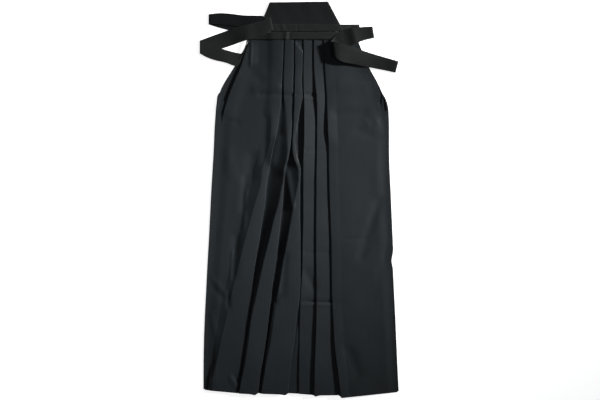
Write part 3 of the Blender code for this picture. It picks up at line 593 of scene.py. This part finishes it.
def add_mesh(name, points, quads, material, fold_shade=None):
    """The last argument gives, for each point of a skin, how much it lies on a fold: the cloth material
    paints shade there and lowers the shine.
    """
    mesh = bpy.data.meshes.new(name)
    mesh.vertices.add(len(points))
    mesh.vertices.foreach_set("co", (points * MM).astype(np.float32).ravel())
    mesh.loops.add(quads.size)
    mesh.loops.foreach_set("vertex_index", quads.astype(np.int32).ravel())
    mesh.polygons.add(len(quads))
    mesh.polygons.foreach_set("loop_start", np.arange(0, quads.size, 4, dtype=np.int32))
    mesh.update(calc_edges=True)
    mesh.validate()
    mesh.materials.append(material)
    mesh.shade_smooth()
    mesh.set_sharp_from_angle(angle=SHARP_ANGLE)
    # Fold weights, turned into painted shade and less shine by the cloth material.
    fold_shade_attribute = mesh.attributes.new("fold_shade", "FLOAT", "POINT")
    values = np.zeros(len(points)) if fold_shade is None else np.tile(fold_shade.ravel(), 2)
    fold_shade_attribute.data.foreach_set("value", values.astype(np.float32))
    return add_object(name, mesh)


def add_object(name, data):
    obj = bpy.data.objects.new(name, data)
    bpy.context.scene.collection.objects.link(obj)
    return obj


def place(obj, node):
    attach(obj, "root")
    if node:
        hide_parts(node)
    return obj


# Panels

SLIT_SEAM = 7.0       # from a slit's edge in to its line of stitches
SLIT_COLUMNS = 20     # the columns next to the edge, among which that line lies
FRONT_SLIT_END, BACK_SLIT_END = 200.0, 128.0


def panel_rows(first):
    count = round((SEAT_LENGTH - first) / ROW_STEP)
    return np.linspace(first, SEAT_LENGTH, count + 1)


def slit_line(points, drop, end):
    """The stitches beside a slit: their places on the upper skin, and the directions up from it."""
    up = upward(points)
    places, directions = [], []
    for i in np.flatnonzero(drop < end):
        from_edge = np.abs(points[i, :SLIT_COLUMNS, 0] - points[i, 0, 0])
        column = np.searchsorted(from_edge, SLIT_SEAM)
        share = (SLIT_SEAM - from_edge[column - 1]) / (from_edge[column] - from_edge[column - 1])
        middle = blend(points[i, column - 1], points[i, column], share)
        places.append(middle + up[i, column] * WALL / 2)
        directions.append(up[i, column])
    return np.array(places), np.array(directions)


def front_panel(side, make_section, creases, slit, tucked, seed, material, thread):
    """One leg's front and its sewing, with loose cloth over its folds."""
    drop = panel_rows(FRONT_TOP)
    section, edge = make_section(drop)
    x, height, fold_shade = section.grids()
    down = drop[:, None] + 0 * x
    z = front_base(x, down, edge[:, None]) + height + air(x, down, edge[:, None], creases, seed)
    z += crease_height(x, down, slit)
    if tucked:
        z -= tuck_depth(x, down)
    points = np.stack([x, WAIST_Y - down - hem_shift(x, down), z], axis=2)
    seam = slit_line(points, drop, FRONT_SLIT_END)
    return sewn_piece("front_%s_cloth" % side, "front_leg_" + side,
                      points, WALL, [seam], material, thread, fold_shade)


def back_panel(side, facing, fronts, ridge, material, thread):
    """One leg's back and its sewing. facing is the side's direction along X."""
    drop = panel_rows(BACK_TOP)
    row = read_table(BACK_SIDE, drop)
    outer = facing * (getattr(row, side) - CENTRE_X)
    front_edge = facing * (read_table(fronts, drop).side - CENTRE_X)
    out, height = back_section(drop, outer, front_edge, row.turn).grids()[:2]
    x = CENTRE_X + facing * out
    down = drop[:, None] + 0 * x
    z = height + crease_height(x, down, ridge)
    lowest = np.abs(height - FLOOR_LAYER) < 0.01
    z += lowest * sum(crease_height(x, down, crease) for crease in BACK_CREASES)
    points = np.stack([x, WAIST_Y - down - hem_shift(x, down, BACK_HEM_SHORT), z], axis=2)
    seam = slit_line(points, drop, BACK_SLIT_END)
    return sewn_piece("back_%s_cloth" % side, "back_leg_" + side,
                      points, BACK_WALL, [seam], material, thread)


# Sewing

STITCH_LENGTH, STITCH_GAP, STITCH_WIDTH = 2.6, 1.3, 0.5
STITCH_RINGS = ((0.0, 0.4), (0.5, 1.0), (1.0, 0.4))       # place along a stitch, and its thickness there
STITCH_CORNERS = ((-1, 0), (0, 1), (1, 0), (0, -1))       # aside and up, round a stitch


def stitch_points(points, outward):
    """The corners of every stitch along one line on the cloth, ring after ring."""
    steps = np.linalg.norm(np.diff(points, axis=0), axis=1)
    reach = np.concatenate([[0.0], np.cumsum(steps)])
    starts = np.arange(STITCH_GAP, reach[-1] - STITCH_LENGTH, STITCH_LENGTH + STITCH_GAP)

    def read(values, at):
        return np.stack([np.interp(at, reach, values[:, axis]) for axis in range(3)], axis=1)

    first = read(points, starts)
    last = read(points, starts + STITCH_LENGTH)
    up = unit(read(outward, starts + STITCH_LENGTH / 2))
    aside = unit(np.cross(up, last - first))
    corners = []
    for share, size in STITCH_RINGS:
        for out, high in STITCH_CORNERS:
            shift = (aside * out + up * high) * size * STITCH_WIDTH / 2
            corners.append(blend(first, last, share) + shift)
    return np.stack(corners, axis=1)


def stitches(name, lines, material):
    """One mesh of small thread bars along lines, each of points and their outward directions."""
    corners = np.concatenate([stitch_points(points, outward) for points, outward in lines])
    round_count, ring_count = len(STITCH_CORNERS), len(STITCH_RINGS)
    corner_count = ring_count * round_count
    quads = [range(round_count), range(corner_count - 1, corner_count - round_count - 1, -1)]
    for ring in range(ring_count - 1):
        for i in range(round_count):
            here = ring * round_count + i
            beside = ring * round_count + (i + 1) % round_count
            quads.append((here, here + round_count, beside + round_count, beside))
    one = np.array([list(quad) for quad in quads])
    firsts = np.arange(len(corners))[:, None, None] * corner_count
    everything = (one[None] + firsts).reshape(-1, 4)
    return place(add_mesh(name, corners.reshape(-1, 3), everything, material), None)


def sewn_piece(name, node, points, wall, lines, material, thread, fold_shade=None):
    """A piece's cloth and its sewing."""
    sewing = stitches(node + "_stitches", lines, thread)
    return place(shell(name, points, wall, material, fold_shade), node), sewing


# Straps

STRAP_STEP = 2.5      # from one row of points to the next, along a strap
STRAP_COLUMNS = np.array([0, 0.02, 0.05, 0.08, 0.11, 0.3, 0.5, 0.7, 0.89, 0.92, 0.95, 0.98, 1])
STRAP_PROFILE = np.array([0.55, 0.95, 1.0, 0.72, 0.95, 1.0, 1.0, 1.0, 0.95, 0.72, 1.0, 0.95, 0.55])
SEWN_COLUMNS = (3, 9)
STRAP_FOLD_SHADE = 1.5     # how much a strap's bend counts as a fold, for painted shade and less shine


def between(a, b, time_a, time_b, time):
    return (time_b - time) / (time_b - time_a) * a + (time - time_a) / (time_b - time_a) * b


def smooth_path(points, spacing):
    """A centripetal curve through a strap's sections, sampled about every spacing."""
    middles = (points[:, :3] + points[:, 3:]) / 2
    knots = np.concatenate([[0], np.cumsum(np.sqrt(np.linalg.norm(np.diff(middles, axis=0), axis=1)))])
    first = 2 * points[0] - points[1]
    last = 2 * points[-1] - points[-2]
    padded = np.vstack([first, points, last])
    t = np.concatenate([[knots[0] - (knots[1] - knots[0])], knots, [2 * knots[-1] - knots[-2]]])
    made = []
    for i in range(1, len(padded) - 2):
        reach = np.linalg.norm(middles[i] - middles[i - 1])
        count = max(2, math.ceil(reach / spacing))
        p0, p1, p2, p3 = padded[i - 1:i + 3]
        t0, t1, t2, t3 = t[i - 1:i + 3]
        for step in range(count):
            u = t1 + (t2 - t1) * step / count
            a1 = between(p0, p1, t0, t1, u)
            a2 = between(p1, p2, t1, t2, u)
            a3 = between(p2, p3, t2, t3, u)
            b1 = between(a1, a2, t0, t2, u)
            b2 = between(a2, a3, t1, t3, u)
            made.append(between(b1, b2, t1, t2, u))
    made.append(points[-1])
    return np.array(made)


def strap(node, rows, material, thread):
    """A strap of two layers through its sections, sewn along both edges."""
    path = smooth_path(np.array(rows, float), STRAP_STEP)
    path[:, 2::3] = np.maximum(path[:, 2::3], STRAP_WALL / 2)
    points = blend(path[:, None, :3], path[:, None, 3:], STRAP_COLUMNS[None, :, None])
    wall = STRAP_WALL * np.tile(STRAP_PROFILE, (len(points), 1))
    outward = skin_normals(points)
    # Where the strap bends, the cloth material paints shade.
    fold_shade = np.clip(np.linalg.norm(np.gradient(outward, axis=0), axis=2) * STRAP_FOLD_SHADE, 0.0, 1.0)
    lines = []
    for column in SEWN_COLUMNS:
        for face in (1, -1):
            offset = face * outward[:, column] * wall[:, column, None] / 2
            lines.append((points[:, column] + offset, face * outward[:, column]))
    return sewn_piece(node + "_cloth", node, points, wall, lines, material, thread, fold_shade)


# Board and bands

SLAB_SEAM = 3.0       # from a flat piece's edge to its line of stitches
SLAB_ROUND, BAND_ROUND = 0.86, 0.8    # how far an edge thins: 1 is a full half circle
BOARD_GRID, BOARD_SOFT = (120, 50), 2.2
BACK_BAND_GRID, BACK_BAND_SOFT = (130, 16), 1.4
BAND_COLUMNS, BAND_ROWS, BAND_SOFT = 150, 12, 1.6
BAND_SEWN_ROWS = (2, 9)
BAND_RIDGE, BAND_RIDGE_X, BAND_RIDGE_Y, BAND_RIDGE_SLANT, BAND_RIDGE_WIDTH = 1.4, -35.0, 436.0, 0.12, 4.0
BAND_DIP, BAND_DIP_X, BAND_DIP_WIDTH = 0.5, -26.0, 3.0
BAND_WAVE, BAND_WAVE_SIZE = 0.25, 46.0
TOP_LINE, TOP_LINE_IN, TOP_LINE_WIDTH = 0.35, 7.0, 0.9    # the pressed line below the board's top edge
DENT, DENT_X, DENT_Y, DENT_WIDTH = 0.5, -20.0, 497.0, 15.811
CRUMPLE, CRUMPLE_X, CRUMPLE_WIDTH = 0.28, -46.0, 13.0
JOINT, JOINT_X, JOINT_WIDTH = 0.7, -4.8, 0.9


def rounding(from_edge, soft, amount):
    """Share of the full thickness near an edge, over the distance soft."""
    edge = np.clip(from_edge / soft, 0, 1)
    return np.sqrt(1 - (1 - edge) ** 2 * amount)


def slab(name, node, corners, base, height, grid, soft, relief, material, thread):
    """A flat covered piece with rounded edges. grid says how many columns and rows of points it has."""
    columns, rows = grid
    u = np.linspace(0, 1, columns)[None, :, None]
    v = np.linspace(0, 1, rows)[:, None, None]
    low = blend(np.array(corners[0], float), np.array(corners[1], float), u)
    top = blend(np.array(corners[3], float), np.array(corners[2], float), u)
    flat = blend(top, low, v)
    width = np.linalg.norm(flat[0, -1] - flat[0, 0])
    depth = np.linalg.norm(flat[-1, 0] - flat[0, 0])
    from_side = np.minimum(u, 1 - u)[..., 0] * width
    from_end = np.minimum(v, 1 - v)[..., 0] * depth
    wall = height * rounding(np.minimum(from_side, from_end), soft, SLAB_ROUND)
    bump = relief(flat[..., 0], flat[..., 1])
    points = np.concatenate([flat, (base + height / 2 + bump / 2)[..., None]], axis=2)
    upper = points + np.array([0.0, 0.0, 0.5]) * (wall + bump)[..., None]
    margin = round(SLAB_SEAM / depth * (rows - 1))
    level = np.tile([0.0, 0.0, 1.0], (columns, 1))
    lines = [(upper[row, 2:-2], level[2:-2]) for row in (margin, rows - 1 - margin)]
    return sewn_piece(name, node, points, wall + bump, lines, material, thread)


def board_relief(x, y):
    """Soft dents in the board's cover and the pressed line of its turned top edge."""
    (right_x, right_y), (left_x, left_y) = BOARD_CORNERS[2:]
    top = np.interp(x, [left_x, right_x], [left_y, right_y])
    line = TOP_LINE * bell(top - y - TOP_LINE_IN, TOP_LINE_WIDTH)
    return 0.3 * wander(x, y, 60.0, 4.0) - line - DENT * bell(np.hypot(x - DENT_X, y - DENT_Y), DENT_WIDTH)


def back_band_relief(x, y):
    """Small crumples beside the centre and a joint in the middle of the band."""
    ripple = np.sin(0.34 * x + 0.12 * y + 1.6 * np.sin(0.05 * x))
    crumple = CRUMPLE * ripple * bell(x - CRUMPLE_X, CRUMPLE_WIDTH)
    return crumple - JOINT * bell(x - JOINT_X, JOINT_WIDTH) + 0.15 * wander(x, y, 30.0, 1.0)


def front_band(material, thread):
    """The front waistband, over the folds' top ends, with a small ridge where cloth bunches below it."""
    x = np.linspace(FRONT_BAND[0].x, FRONT_BAND[-1].x, BAND_COLUMNS)
    z = Track([section.x for section in FRONT_BAND], [section.z for section in FRONT_BAND])(x)
    v = np.linspace(0, 1, BAND_ROWS)
    y = WAIST_Y - blend(BAND_TOP_DROP, BAND_LOW_DROP, v)
    grid_x, grid_y = np.meshgrid(x, y)
    slant = BAND_RIDGE_SLANT * (grid_y - BAND_RIDGE_Y)
    ridge = BAND_RIDGE * bell(grid_x - BAND_RIDGE_X - slant, BAND_RIDGE_WIDTH)
    dip = BAND_DIP * bell(grid_x - BAND_DIP_X, BAND_DIP_WIDTH)
    lift = ridge - dip + BAND_WAVE * wander(grid_x, grid_y, BAND_WAVE_SIZE, 3.0)
    points = np.stack([grid_x, grid_y, z[None, :] + lift], axis=2)
    from_edge = np.minimum(v, 1 - v) * (BAND_LOW_DROP - BAND_TOP_DROP)
    wall = BAND_WALL * rounding(from_edge, BAND_SOFT, BAND_ROUND)[:, None] * np.ones((1, BAND_COLUMNS))
    up = upward(points)
    lines = [(points[row] + up[row] * BAND_WALL / 2, up[row]) for row in BAND_SEWN_ROWS]
    return sewn_piece("front_waistband_cloth", "front_waistband",
                      points, wall, lines, material, thread)


# Materials

Finish = namedtuple("Finish", "dark light roughness shine sheen slubs")
# Colours about half as light as the panel cloth's: painted shade on the board cover and the back right
# strap.
SHADE_PAINTED_DARK, SHADE_PAINTED_LIGHT = (0.0046, 0.0058, 0.0063, 1), (0.009, 0.0108, 0.0116, 1)
PANEL_FINISH = Finish((0.0093, 0.0123, 0.0148, 1), (0.0178, 0.0222, 0.0262, 1), 0.52, 0.25, 0.08, 900)
STRAP_FINISH = Finish((0.0076, 0.0089, 0.0090, 1), (0.0144, 0.0164, 0.0165, 1), 0.62, 0.25, 0.06, 700)
# A darker, less shiny copy of the strap cloth: painted shade on the front left strap, whose slope catches
# the lamp.
STRAP_PAINTED_SHADE_FINISH = Finish((0.0050, 0.0062, 0.0062, 1), (0.0096, 0.0114, 0.0113, 1), 0.62, 0.16, 0.05, 700)
BACK_STRAP_PAINTED_SHADE_FINISH = Finish(SHADE_PAINTED_DARK, SHADE_PAINTED_LIGHT, 0.65, 0.14, 0.04, 700)
BOARD_PAINTED_SHADE_FINISH = Finish(SHADE_PAINTED_DARK, SHADE_PAINTED_LIGHT, 0.6, 0.25, 0.05, 800)
THREAD_DARK, THREAD_LIGHT = (0.006, 0.007, 0.008, 1), (0.020, 0.022, 0.024, 1)
SHEEN_TINT = (0.75, 0.85, 1.0, 1.0)
SLUB_STRETCH = 60     # how many times longer than wide a slub is
PATCH_SCALE = 9.0     # patches of lighter and darker cloth in a metre
# Painted shade darkens the colour along folds; the shine there is lowered too.
FOLD_SHADE_DARKEN, PRESS_DULL = -0.10, -0.7
TONE_SHARE, DARK_BELOW = 0.6, 0.35
ROUGHEST, SMOOTHEST, ROUGH_SPREAD = 0.3, 0.9, 0.06        # the tones with most and least roughness
WEAVE_WIDTH, WEAVE_PERIOD, WEAVE_ANGLE = 0.9, 0.314, math.radians(63)
WEAVE_SHARE, BUMP_STRENGTH, BUMP_DEPTH = 0.45, 0.35, 0.0004


def fill_inputs(tree, node, inputs):
    """Sets each input of a node to a value, or links it to the output given for it."""
    for name, value in inputs.items():
        if isinstance(value, bpy.types.NodeSocket):
            tree.links.new(value, node.inputs[name])
        else:
            node.inputs[name].default_value = value


def add_node(tree, kind, inputs, **settings):
    node = tree.nodes.new(kind)
    for name, value in settings.items():
        setattr(node, name, value)
    fill_inputs(tree, node, inputs)
    return node


def new_material(name):
    material = bpy.data.materials.new(name)
    material.use_nodes = True
    tree = material.node_tree
    return material, tree, tree.nodes["Principled BSDF"]


def colour_ramp(tree, factor, dark, light, first=0.0):
    ramp = add_node(tree, "ShaderNodeValToRGB", {"Fac": factor})
    ramp.color_ramp.elements[0].position = first
    ramp.color_ramp.elements[0].color = dark
    ramp.color_ramp.elements[1].color = light
    return ramp.outputs["Color"]


def maths(tree, operation, *values):
    return add_node(tree, "ShaderNodeMath", dict(enumerate(values)), operation=operation).outputs["Value"]


def cloth_material(name, finish):
    """Dyed cloth: a fine weave and long slubs in the yarn; folds take painted shade and less shine."""
    material, tree, shader = new_material(name)
    here = add_node(tree, "ShaderNodeTexCoord", {}).outputs["Object"]
    slub_scale = (finish.slubs, finish.slubs / SLUB_STRETCH, finish.slubs)
    stretched = add_node(tree, "ShaderNodeMapping", {"Vector": here, "Scale": slub_scale})
    slub = add_node(tree, "ShaderNodeTexNoise",
                    {"Vector": stretched.outputs["Vector"], "Scale": 1.0, "Detail": 3.0}).outputs["Fac"]
    patch = add_node(tree, "ShaderNodeTexNoise",
                     {"Vector": here, "Scale": PATCH_SCALE, "Detail": 4.0}).outputs["Fac"]
    fold_shade = add_node(tree, "ShaderNodeAttribute", {}, attribute_name="fold_shade").outputs["Fac"]
    # Painted shade: the yarn's tone is darkened along folds.
    yarn_tone_and_fold_shade = maths(tree, "MULTIPLY_ADD", fold_shade, FOLD_SHADE_DARKEN, maths(tree, "ADD", slub, patch))
    tone = maths(tree, "MULTIPLY", yarn_tone_and_fold_shade, TONE_SHARE)
    rough = add_node(tree, "ShaderNodeMapRange", {
        "Value": tone,
        "From Min": ROUGHEST,
        "From Max": SMOOTHEST,
        "To Min": finish.roughness + ROUGH_SPREAD,
        "To Max": finish.roughness - ROUGH_SPREAD,
    })
    turned = add_node(tree, "ShaderNodeMapping", {"Vector": here, "Rotation": (0.0, 0.0, WEAVE_ANGLE)})
    twill = add_node(tree, "ShaderNodeTexWave", {
        "Vector": turned.outputs["Vector"],
        "Scale": WEAVE_PERIOD / (WEAVE_WIDTH * MM),
        "Distortion": 0.6,
        "Detail": 1.0,
    }, bands_direction="X")
    relief = maths(tree, "MULTIPLY_ADD", twill.outputs["Fac"], WEAVE_SHARE, slub)
    bump = add_node(tree, "ShaderNodeBump",
                    {"Height": relief, "Strength": BUMP_STRENGTH, "Distance": BUMP_DEPTH})
    fill_inputs(tree, shader, {
        "Base Color": colour_ramp(tree, tone, finish.dark, finish.light, DARK_BELOW),
        "Roughness": rough.outputs["Result"],
        "Specular IOR Level": maths(tree, "MULTIPLY_ADD", fold_shade, PRESS_DULL * finish.shine, finish.shine),
        "Sheen Weight": finish.sheen,
        "Sheen Roughness": 0.45,
        "Sheen Tint": SHEEN_TINT,
        "Normal": bump.outputs["Normal"],
    })
    return material


def thread_material():
    """Black sewing thread, a little glossier than the cloth."""
    material, tree, shader = new_material("sewing_thread")
    here = add_node(tree, "ShaderNodeTexCoord", {}).outputs["Object"]
    strand = add_node(tree, "ShaderNodeTexNoise", {"Vector": here, "Scale": 1500.0}).outputs["Fac"]
    colour = colour_ramp(tree, strand, THREAD_DARK, THREAD_LIGHT)
    fill_inputs(tree, shader, {"Base Color": colour, "Roughness": 0.4, "Sheen Weight": 0.1})
    return material


def plain_floor_material():
    """White and faintly glowing, like a light table, so that the shadows on it stay pale."""
    material, tree, shader = new_material("pale_floor")
    fill_inputs(tree, shader, {
        "Base Color": (0.85, 0.85, 0.85, 1.0),
        "Roughness": 0.9,
        "Specular IOR Level": 0.1,
        "Emission Color": (1.0, 1.0, 1.0, 1.0),
        "Emission Strength": FLOOR_GLOW,
    })
    return material


# Setting

FLOOR_SIZE, FLOOR_DEPTH, FLOOR_GLOW = 40.0, 0.0002, 0.84
KEY_PLACE, KEY_AIM = (8.70, 2.80, 3.60), (-0.55, -0.07, 0.0)
KEY_POWER, KEY_RADIUS, KEY_CONE, KEY_COLOUR = 15800.0, 0.50, 0.142, (1.0, 0.99, 0.97)
OVERHEAD_PLACE, OVERHEAD_AIM = (0.4, 0.3, 3.2), (0.0, 0.0, 0.0)
OVERHEAD_POWER, OVERHEAD_SIZE, OVERHEAD_COLOUR = 3.5, 1.6, (0.93, 0.97, 1.0)
WORLD_COLOUR, WORLD_STRENGTH = (0.90, 0.96, 1.0, 1.0), 0.07
CAMERA_LENS, CAMERA_SENSOR, CAMERA_REACH = 85.0, 36.0, 20.0
VIEW_WIDTH = 1.605    # width of the view at the cloth
VIEW_CENTRE = (0.0021, -0.0016)


def make_floor():
    bpy.ops.mesh.primitive_plane_add(size=FLOOR_SIZE, location=(0, 0, -FLOOR_DEPTH))
    floor = bpy.context.object
    floor.name = "floor"
    floor.data.materials.append(plain_floor_material())


def add_light(name, kind, power, colour, position, target):
    data = bpy.data.lights.new(name, kind)
    data.energy = power
    data.color = colour
    light = add_object(name, data)
    light.location = position
    light.rotation_euler = (Vector(target) - Vector(position)).to_track_quat("-Z", "Y").to_euler()
    return data


def light_scene():
    """A soft spot from the wearer's left, brightest at the hips, a weak lamp above and a dim room."""
    key = add_light("key", "SPOT", KEY_POWER, KEY_COLOUR, KEY_PLACE, KEY_AIM)
    key.shadow_soft_size = KEY_RADIUS
    key.spot_size = KEY_CONE
    key.spot_blend = 1.0
    overhead = add_light("overhead", "AREA", OVERHEAD_POWER, OVERHEAD_COLOUR, OVERHEAD_PLACE, OVERHEAD_AIM)
    overhead.shape = "DISK"
    overhead.size = OVERHEAD_SIZE
    world = bpy.data.worlds.new("studio")
    world.use_nodes = True
    background = world.node_tree.nodes["Background"]
    background.inputs["Color"].default_value = WORLD_COLOUR
    background.inputs["Strength"].default_value = WORLD_STRENGTH
    bpy.context.scene.world = world
    bpy.context.scene.view_settings.view_transform = "Standard"


def make_camera():
    data = bpy.data.cameras.new("camera")
    data.lens = CAMERA_LENS
    data.sensor_width = CAMERA_SENSOR
    data.clip_end = CAMERA_REACH
    camera = add_object("camera", data)
    camera.location = (*VIEW_CENTRE, VIEW_WIDTH * CAMERA_LENS / CAMERA_SENSOR)
    bpy.context.scene.camera = camera


# The garment. A flat size is what a piece's cloth measures laid out, in metres.

def make_panels(panel, thread):
    right = front_panel("right", right_front_section, RIGHT_CREASES, RIGHT_SLIT, True, 1.0, panel, thread)
    left = front_panel("left", left_front_section, LEFT_CREASES, LEFT_SLIT, False, 5.0, panel, thread)
    back_right = back_panel("right", -1, RIGHT_FRONT, RIGHT_SIDE_RIDGE, panel, thread)
    back_left = back_panel("left", 1, LEFT_FRONT, LEFT_SIDE_RIDGE, panel, thread)


def make_straps(band, painted_shade_strap, painted_shade_back_strap, thread):
    for node, rows, material, flat in (
        ("front_strap_right", FRONT_STRAP_RIGHT, band, (0.036, 0.40)),
        ("front_strap_left", FRONT_STRAP_LEFT, painted_shade_strap, (0.036, 0.43)),
        ("back_strap_right", BACK_STRAP_RIGHT, painted_shade_back_strap, (0.031, 0.27)),
        ("back_strap_left", BACK_STRAP_LEFT, band, (0.018, 0.083)),
    ):
        cloth, sewing = strap(node, rows, material, thread)


def make_bands(band, cover, thread):
    front, front_sewing = front_band(band, thread)
    slab("back_board_cover", "back_board", BOARD_CORNERS, 0.0, BOARD_HEIGHT,
         BOARD_GRID, BOARD_SOFT, board_relief, cover, thread)
    back, back_sewing = slab("back_band_cloth", "back_band", BACK_BAND_CORNERS,
                             BOARD_HEIGHT + SEAM, BAND_WALL, BACK_BAND_GRID, BACK_BAND_SOFT,
                             back_band_relief, band, thread)


def main():
    panel = cloth_material("panel_cloth", PANEL_FINISH)
    band = cloth_material("strap_cloth", STRAP_FINISH)
    # A darker copy of the strap cloth: painted shade on the front left strap.
    painted_shade_strap = cloth_material("front_left_strap_cloth", STRAP_PAINTED_SHADE_FINISH)
    # The back right strap and the board cover use the darker colours: painted shade.
    painted_shade_back_strap = cloth_material("back_strap_cloth", BACK_STRAP_PAINTED_SHADE_FINISH)
    cover = cloth_material("board_cloth", BOARD_PAINTED_SHADE_FINISH)
    thread = thread_material()
    make_panels(panel, thread)
    make_straps(band, painted_shade_strap, painted_shade_back_strap, thread)
    make_bands(band, cover, thread)
    make_floor()
    light_scene()
    make_camera()


main()
